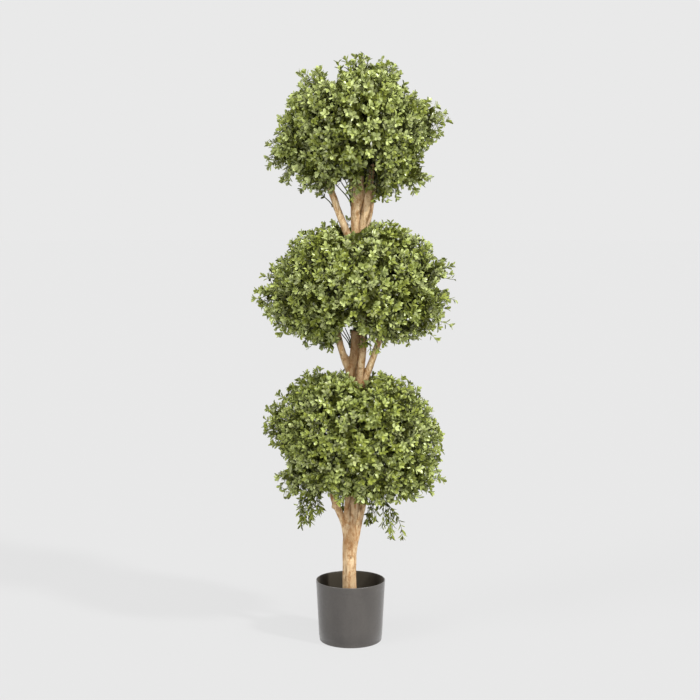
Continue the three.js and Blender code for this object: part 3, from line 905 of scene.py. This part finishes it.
# twigs as slim three-sided tubes along their lines
def joinedTwigs(name, twigs, finish):
    corners, faces = [], []
    for line in twigs:
        first, last = len(corners), len(corners) + 3 * (len(line) - 1)
        for index, (point, radius) in enumerate(line):
            along = lineWay(line, index)
            corners += [point + sideways(along, math.tau * side / 3) * radius for side in range(3)]
        for ring in range(first, last, 3):
            for side in range(3):
                a, b = ring + side, ring + (side + 1) % 3
                faces += [(a, b, b + 3), (a, b + 3, a + 3)]
        faces += [(first + 2, first + 1, first), (last, last + 1, last + 2)]
    corners, faces = np.array(corners, float), np.array(faces, int)
    return arrayPiece(name, corners, faces, finish, stems["sharpAngle"])


def leafFinish(name, colour):
    finish, tree, shader = newFinish(name)
    cloud = stretchedNoise(tree, 1, 55, 3, 0.6)
    darker = tuple(value * 0.80 for value in colour)
    paler = (colour[0] * 1.20, colour[1] * 1.15, colour[2] * 1.15)
    pores = stretchedNoise(tree, 1, 700, 2, 0.6)
    feed(shader, {
        "Base Color": ramp(cloud, [(0.32, darker), (0.68, paler)]),
        "Roughness": ranged(pores, 0.22, 0.34), "Specular IOR Level": 0.32,
        "Normal": bumped(pores, 0.2, 0.0004),
    })
    return finish


def stemFinish(spec):
    finish, tree, shader = newFinish("green_stem_plastic")
    cloud = stretchedNoise(tree, 1, 120, 3, 0.6)
    feed(shader, {
        "Base Color": ramp(cloud, [(0.35, spec["colour"]), (0.68, spec["paleColour"])]),
        "Roughness": 0.55, "Normal": bumped(cloud, 0.3, 0.0005),
    })
    return finish


def twigLine(points, radii, steps, upTo=1.0):
    ends = [radius * mm for radius in radii]
    shares = [upTo * step / steps for step in range(steps + 1)]
    return [(bezier(points, share), between(ends, share)) for share in shares]


def lineLength(points):
    stops = [bezier(points, step / 8) for step in range(9)]
    return sum((b - a).length for a, b in zip(stops, stops[1:]))


woodPoints = [spot for line in limbLines.values() for spot in line]
woodTree = kdtree.KDTree(len(woodPoints))
for number, (spot, radius) in enumerate(woodPoints):
    woodTree.insert(spot, number)
woodTree.balance()


def nearWood(point, clear):
    found, number, distance = woodTree.find(point)
    return distance < woodPoints[number][1] + clear * mm


# the leaders' tips are the source's shoots: the standing sprigs first, then a golden-angle spread
def leaderTips(ball, random):
    centre = place(ball["centre"])
    tips = [place(sprig) for sprig in ball["sprigs"]]
    for heading in evenSpread(growth["leaders"]):
        stretch = random(growth["shortest"], growth["longest"])
        tips.append(centre + heading * outline(ball, heading) * stretch)
    return tips


# a leader leaves the trunk or a bough's tip, whichever is the easier way out to its own tip
def leaderPath(ball, tip):
    centre = place(ball["centre"])
    starts = [(spot, up) for spot, radius in limbLines["trunk"]
              if ball["trunkFrom"] * mm < spot.z < ball["trunkTo"] * mm]
    for name, line in limbLines.items():
        if name.startswith(ball["node"].replace("ball", "bough")):
            starts.append((line[-1][0], (line[-1][0] - line[-3][0]).normalized()))

    def effort(start):
        way = tip - start[0]
        return way.length * (1.3 - 0.55 * way.normalized().z)

    def pathFrom(start, along):
        length = (tip - start).length
        heading = (tip - centre).normalized()
        first = start + (along * 0.45 + (tip - start).normalized() * 0.55) * length * 0.35
        return start, first, tip - (heading * 0.9 + up * 0.1) * length * 0.3, tip

    paths = [pathFrom(*start) for start in sorted(starts, key=effort)]
    return next((path for path in paths if clearWay(path, ball["clearings"])), paths[0])


def addLeaf(leaves, tint, kind, at, along, out, splay, random, scale):
    way = along * math.cos(splay) + out * math.sin(splay)
    face = along * math.sin(splay) - out * math.cos(splay)
    most = leaf["hangingTwist"] if kind == "hanging" else leaf["twist"]
    twist = random(-most, most)
    face = face * math.cos(twist) + way.cross(face) * math.sin(twist)
    size = random(*leaf["length"]) * mm * scale
    end = at + way * size
    clear = leaves["low"] < end.z < leaves["high"] and not nearWood(end, growth["leafClear"])
    if clear and not any(inClearing(end, *clearing) for clearing in leaves["clearings"]):
        leaves[tint].append((at, way, face, size, kind))


# leaves and twigs keep out of clearings: ovals seen from the front, right through or back to a y
def inClearing(end, x, z, halfWidth, halfHeight, back=300):
    across, rise = (end.x / mm - x) / halfWidth, (end.z / mm - z) / halfHeight
    return end.y < back * mm and across**2 + rise**2 < 1


def clearWay(points, clearings):
    count = growth["wayStops"]
    stops = [bezier(points, step / count) for step in range(1, count + 1)]
    return not any(inClearing(stop, *clearing) for stop in stops for clearing in clearings)


def freeTwig(points, clear, clearings):
    return not nearWood(points[3], growth[clear]) and clearWay(points, clearings)


# leaves stand in opposite pairs, each pair turned a quarter from the last, with a tuft at the tip
def leafyTwig(points, fromShare, random, tints, leaves, scale, kind="outer"):
    (bare, wide), gap = leafKinds[kind]["splay"], leafKinds[kind]["gap"] * mm
    tipTint, bodyTint, oddTint, footTint = tints
    pairs = max(2, round(lineLength(points) * (1 - fromShare) / gap))
    turn = random(0, math.tau)
    for pair in range(pairs):
        outward = (pair + 0.5) / pairs
        at, along = pointAndWay(points, between((fromShare, 1), outward))
        tint = bodyTint if random() < 0.6 else oddTint
        if outward < leaf["footPart"]:
            tint = footTint
        elif outward > leaf["tipPart"]:
            tint = tipTint
        for half in range(2):
            splay = between((wide, bare), outward) + random(-leaf["sway"], leaf["sway"])
            out = sideways(along, turn + half * math.pi + random(-0.25, 0.25))
            shade = tint if half == 0 or random() < 0.5 else oddTint
            addLeaf(leaves, shade, kind, at, along, out, math.radians(splay), random, scale)
        turn += math.pi / 2 + random(-0.2, 0.2)
    along = bezierAlong(points, 1)
    tuftKind = "tip" if kind == "outer" else kind
    for tuft in range(leaf["tuft"]):
        splay = math.radians(random(*leaf["tipSplay"]))
        out = sideways(along, turn + tuft * math.pi / 2 + random(-0.3, 0.3))
        tint = tipTint if random() < 0.55 else bodyTint
        size = scale * leaf["tipScale"]
        addLeaf(leaves, tint, tuftKind, points[3], along, out, splay, random, size)


# larger plain leaves on the stretch of a twig inside the ball, most in the dark olive tint:
# painted shade for the ball's depths
def innerLeaves(points, toShare, random, leaves):
    fromShare = growth["innerFrom"]
    pairs = round(lineLength(points) * (toShare - fromShare) / (leafKinds["inner"]["gap"] * mm))
    turn = random(0, math.tau)
    for pair in range(pairs):
        share = fromShare + (toShare - fromShare) * (pair + 0.5) / pairs
        at, along = pointAndWay(points, share)
        tint = "olive" if random() < 0.7 else "middle"
        for half in range(2):
            splay = math.radians(random(*leafKinds["inner"]["splay"]))
            out = sideways(along, turn + half * math.pi)
            addLeaf(leaves, tint, "inner", at, along, out, splay, random, growth["innerScale"])
        turn += math.pi / 2 + random(-0.4, 0.4)


# the first tint whose share is above the draw
def dealt(draw, *choices):
    return next(tint for share, tint in choices if draw < share)


def sprayTints(random, freshnessAndLight):
    tip = "fresh" if random() < 0.25 + 0.3 * freshnessAndLight else "light" if random() < 0.7 else "middle"
    body = dealt(random(), (0.3, "light"), (0.7, "middle"), (1, "greyGreen"))
    odd = dealt(random(), (0.25, "light"), (0.5, "middle"), (0.75, "olive"), (1, "greyGreen"))
    return tip, body, odd, dealt(random(), (0.35, "middle"), (1, "olive"))


def sideTwig(points, random, tints, leaves, twigs, inside):
    base, along = pointAndWay(points, random(*growth["sideFrom"]))
    way = (along * 0.75 + sideways(along, random(0, math.tau)) * 0.66).normalized()
    reach = random(*growth["sideLength"]) * mm
    end = base + way * reach
    bend = (base, base + way * reach * 0.3, end - (way * 0.7 + along * 0.3) * reach * 0.35, end)
    if inside(end) and freeTwig(bend, "sideClear", leaves["clearings"]):
        twigs.append(twigLine(bend, growth["sideRadius"], 3))
        leafyTwig(bend, growth["sideLeafFrom"], random, tints, leaves, growth["sideScale"])


# small leaves on a set length before a twig's tip, and larger ones below
def dressTwig(points, innerLeast, random, freshnessAndLight, leaves):
    tints = sprayTints(random, freshnessAndLight)
    leafFrom = max(growth["leafFrom"], 1 - growth["leafyLength"] * mm / lineLength(points))
    leafyTwig(points, leafFrom, random, tints, leaves, 1.0)
    innerLeaves(points, max(leafFrom, innerLeast), random, leaves)
    return tints


# leaves by tint, with the heights and the clearings that they keep to
def newLeaves(low, high, clearings):
    limits = {"low": low * mm, "high": high * mm, "clearings": clearings}
    return {**{tint: [] for tint in leafTints}, **limits}


def growBall(ball):
    random = seededRandom(ball["seed"])
    centre = place(ball["centre"])
    leaves, twigs = newLeaves(ball["lowest"], ball["highest"], ball["clearings"]), []

    def inside(point):
        heading = (point - centre).normalized()
        return (point - centre).length < outline(ball, heading) * growth["furthest"]

    for furthest in leaderTips(ball, random):
        heading = (furthest - centre).normalized()
        apex = furthest - heading * growth["tuftReach"] * mm
        stretch = (apex - centre).length / outline(ball, heading)
        path = leaderPath(ball, apex)
        # painted light: each ball's shift and a downward heading change the share of pale tips for
        # how well that part is lit; the random draw is the leaves' own mix
        freshnessAndLight = random() + ball["paintedLightShift"] + growth["lightPaintedBelow"] * max(0.0, -heading.z)
        upTo = 0.0  # how far along the leader its twig is needed
        if freeTwig(path, "tipClear", ball["clearings"]):
            dressTwig(path, 0.0, random, freshnessAndLight, leaves)
            upTo = 1.0
        phase = random(0, math.tau)
        for number in range(growth["shoots"]):
            away = math.sqrt((number + 0.6) / growth["shoots"])
            lean = growth["cone"] * away * random(0.88, 1.12)
            side = sideways(heading, phase + number * goldenAngle)
            towards = heading * math.cos(lean) + side * math.sin(lean)
            reach = stretch - growth["shoulder"] * away**2 + random(*growth["waver"])
            row, last = divmod(number + 1, growth["longEvery"])
            long = last == 0 and row <= growth["longShoots"]
            if long:
                reach = min(stretch, 1.0) + random(*growth["longBy"])
            tip = centre + towards * outline(ball, towards) * reach
            rootShare = growth["rootFrom"] - growth["rootBack"] * away
            root, along = pointAndWay(path, rootShare)
            length = (tip - root).length
            lift = (towards * 0.85 + up * random(0.0, 0.35)).normalized()
            points = (root, root + along * length * 0.35, tip - lift * length * 0.32, tip)
            if not freeTwig(points, "tipClear", ball["clearings"]):
                continue
            upTo = max(upTo, rootShare)
            twigs.append(twigLine(points, growth["shootRadius"], 6))
            tints = dressTwig(points, growth["innerTo"], random, freshnessAndLight, leaves)
            for extra in range(0 if long else growth["sideTwigs"]):
                sideTwig(points, random, tints, leaves, twigs, inside)
        if upTo:
            twigs.append(twigLine(path, growth["leaderRadius"], 9, upTo))
    growCore(ball, random, leaves, twigs)
    for tint, leafFrom, stemEnds in ball["risers"]:
        for ends in stemEnds:
            growRiser(ends, leafFrom, stemTints[tint], random, leaves, twigs)
    finishFoliage(ball["node"], leaves, twigs)


# short dark twigs round the trunk, deep inside a ball
def growCore(ball, random, leaves, twigs):
    centre = place(ball["centre"])
    for heading in evenSpread(growth["coreTwigs"]):
        start = centre + heading * (growth["coreFrom"] * mm)
        end = centre + heading * random(*growth["coreLength"]) * mm
        points = (start, between((start, end), 0.3), between((start, end), 0.7), end)
        if clearWay(points, ball["clearings"]):
            twigs.append(twigLine(points, growth["shootRadius"], 3))
            innerLeaves(points, 1.0, random, leaves)


# a listed stem under a ball or on its outline, bare where its leaves would begin at its end
def growRiser(ends, leafFrom, tints, random, leaves, twigs):
    start, end = place(ends[:3]), place(ends[3:])
    length = (end - start).length
    points = (start, start + up * length * 0.3, end - (end - start) * 0.35, end)
    twigs.append(twigLine(points, growth["riserRadius"], 7))
    leaves["low"], leaves["clearings"] = 0.0, []
    if leafFrom < 1:
        leafyTwig(points, leafFrom, random, tints, leaves, 1.0)


def finishFoliage(node, leaves, twigs):
    count = sum(len(leaves[tint]) for tint in leafTints)
    made = [joinedTwigs(f"{node}_twigs", twigs, finishes["stem"])]
    for tint in leafTints:
        if leaves[tint]:
            made.append(joinedLeaves(f"{node}_leaves_{tint}", leaves[tint], finishes[tint]))
    for piece in made:
        seat(piece, "foliage", node)
    faces = [len(piece.data.polygons) for piece in made]
    print(node, count, "leaves,", len(twigs), "twigs,", sum(faces), "faces, at most", max(faces))


leafShapes = {kind: leafShape(spec["width"], spec["edge"]) for kind, spec in leafKinds.items()}
finishes = {tint: leafFinish(f"{tint}_leaf_plastic", colour) for tint, colour in leafTints.items()}
finishes["stem"] = stemFinish(stems)
for ball in (lowerBall, middleBall, upperBall):
    growBall(ball)


# hanging sprays: a stem over from the bough's tip, and slim twigs that droop from it
sprays = [
    {"node": "spray_left", "bough": "bough_lower_left", "seed": 41, "twigs": 14, "from": 0.36,
     "over": [-84, -12, 396], "end": [-122, -16, 374],
     "drop": (48, 68), "lean": (-0.14, -0.14), "spread": 10},
    {"node": "spray_right", "bough": "bough_lower_right", "seed": 43, "twigs": 13, "from": 0.06,
     "over": [68, 10, 390], "end": [112, 14, 334],
     "drop": (72, 72), "lean": (-0.05, 0.17), "spread": 12},
]
hanging = {
    "dropSway": 12, "stemFrom": 0.5, "leafFrom": 0.15, "highest": 404, "scale": 1.18,
    "archUp": (12, 6), "stemRadius": (1.5, 0.9),
}


def growSpray(spec):
    random = seededRandom(spec["seed"])
    leaves = newLeaves(0, hanging["highest"], [])
    start = limbLines[spec["bough"]][-1][0]
    over, end = place(spec["over"]), place(spec["end"])
    first, second = (up * (rise * mm) for rise in hanging["archUp"])
    stem = (start, between((start, over), 0.5) + first, over + second, end)
    twigs = [twigLine(stem, hanging["stemRadius"], 10)]
    look = (random, stemTints["hanging"], leaves, hanging["scale"], "hanging")
    leafyTwig(stem, hanging["stemFrom"], *look)
    for number in range(spec["twigs"]):
        order = (number + 1) / spec["twigs"]
        share = between((spec["from"], 1), order)
        drop = between(spec["drop"], order)
        drop += random(-hanging["dropSway"], hanging["dropSway"])
        root, along = bezier(stem, share), bezierAlong(stem, min(share, 0.98))
        spread = place([random(-1, 1) * spec["spread"] for axis in range(2)] + [0])
        tip = root + spread + place([drop * between(spec["lean"], order), 0, -drop])
        length = (tip - root).length
        points = (root, root + along * length * 0.3, tip + up * length * 0.35, tip)
        twigs.append(twigLine(points, growth["shootRadius"], 6))
        leafyTwig(points, hanging["leafFrom"], *look)
    finishFoliage(spec["node"], leaves, twigs)


for spray in sprays:
    growSpray(spray)
print("foliage ready")
